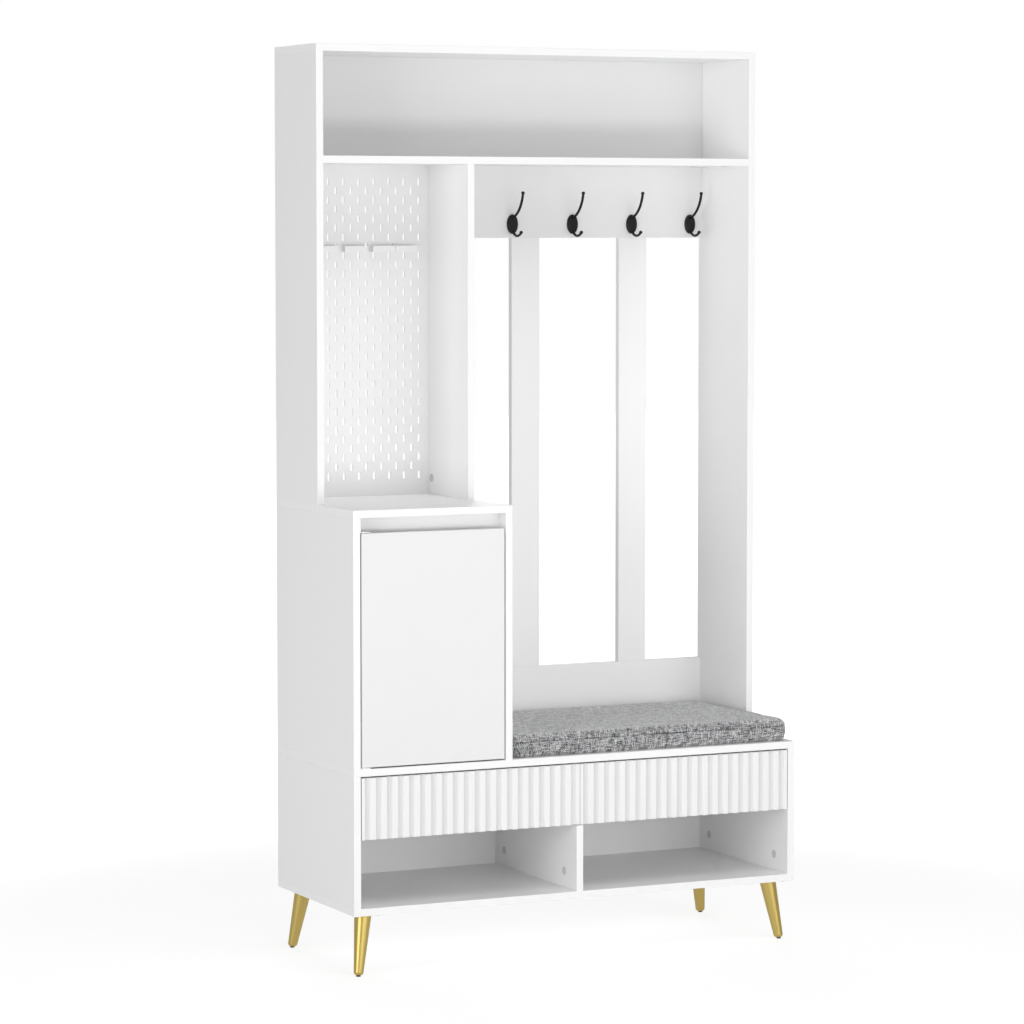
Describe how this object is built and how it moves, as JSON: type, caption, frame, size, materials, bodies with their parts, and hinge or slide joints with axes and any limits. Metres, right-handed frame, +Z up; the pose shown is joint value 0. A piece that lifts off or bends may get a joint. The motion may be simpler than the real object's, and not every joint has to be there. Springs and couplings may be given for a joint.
{
  "type": "hall tree",
  "caption": "White hall tree: a cushioned bench over fluted drawers and open cubbies, a side cabinet with a door, a slotted niche, coat hooks and a hat shelf on splayed gold legs.",
  "frame": {"origin": "on the floor, under the middle of the overall box", "axes": "+X to the right seen from the front, +Y to the back (the wall), +Z up"},
  "size_m": [1, 0.4, 1.855],
  "materials": {
    "white_board": "satin white melamine-faced board",
    "white_fluted": "satin white lacquered fibreboard",
    "white_metal": "white powder coat",
    "white_plastic": "fine matte",
    "leg_gold": "brushed satin gold",
    "hook_black": "matte black powder coat",
    "seat_fabric": "grey heathered tweed",
    "zinc_steel": "bright zinc plate",
    "grey_plastic": "matte grey",
    "black_plastic": "matte black nylon",
    "beech": "plain beech"
  },
  "bodies": {
    "carcass": {"bottom_board": "white_board", "base_side_left": "white_board", "base_side_right": "white_board", "centre_divider": "white_board", "bench_board": "white_board", "base_back_panel": "white_board", "cabinet_side_left": "white_board", "cabinet_side_right": "white_board", "cabinet_top": "white_board", "cabinet_back_panel": "white_board", "cabinet_shelf": "white_board", "finger_rail": "white_board", "upper_side_left": "white_board", "upper_side_right": "white_board", "partition": "white_board", "top_board": "white_board", "hat_shelf": "white_board", "top_back_panel": "white_board", "hook_board": "white_board", "lower_back_rail": "white_board", "slat_left": "white_board", "slat_right": "white_board", "pegboard": "white_board", "drawer_left_runners": "zinc_steel", "drawer_right_runners": "zinc_steel", "coat_hook_1": "hook_black", "coat_hook_2": "hook_black", "coat_hook_3": "hook_black", "coat_hook_4": "hook_black", "leg_front_left": "leg_gold", "leg_front_right": "leg_gold", "leg_rear_left": "leg_gold", "leg_rear_right": "leg_gold", "peg_trays": "white_plastic", "shelf_pins": "zinc_steel", "door_bracket_bottom": "white_metal", "door_bracket_top": "white_metal", "door_catch": "white_plastic", "leg_glides": "black_plastic", "leg_plates": "zinc_steel", "leg_screws": "zinc_steel", "cushion": "seat_fabric", "top_screws": "zinc_steel", "cam_locks": "grey_plastic", "cam_bolts": "zinc_steel", "dowels": "beech"},
    "door": {"door_panel": "white_board", "door_pivots": "zinc_steel", "door_washer": "white_plastic", "door_strike": "zinc_steel"},
    "drawer_left": {"drawer_left_front": "white_fluted", "drawer_left_sides": "white_board", "drawer_left_back": "white_board", "drawer_left_bottom": "white_board", "drawer_left_slides": "zinc_steel"},
    "drawer_right": {"drawer_right_front": "white_fluted", "drawer_right_sides": "white_board", "drawer_right_back": "white_board", "drawer_right_bottom": "white_board", "drawer_right_slides": "zinc_steel"}
  },
  "joints": [
    {"name": "door_hinge", "type": "hinge", "parent": "carcass", "child": "door", "pos_m": [-0.476, -0.194, 0.6545], "axis": [0, 0, -1], "range_deg": [0, 105]},
    {"name": "drawer_left_slide", "type": "slide", "parent": "carcass", "child": "drawer_left", "axis": [0, -1, 0], "range_m": [0, 0.26]},
    {"name": "drawer_right_slide", "type": "slide", "parent": "carcass", "child": "drawer_right", "axis": [0, -1, 0], "range_m": [0, 0.26]}
  ]
}
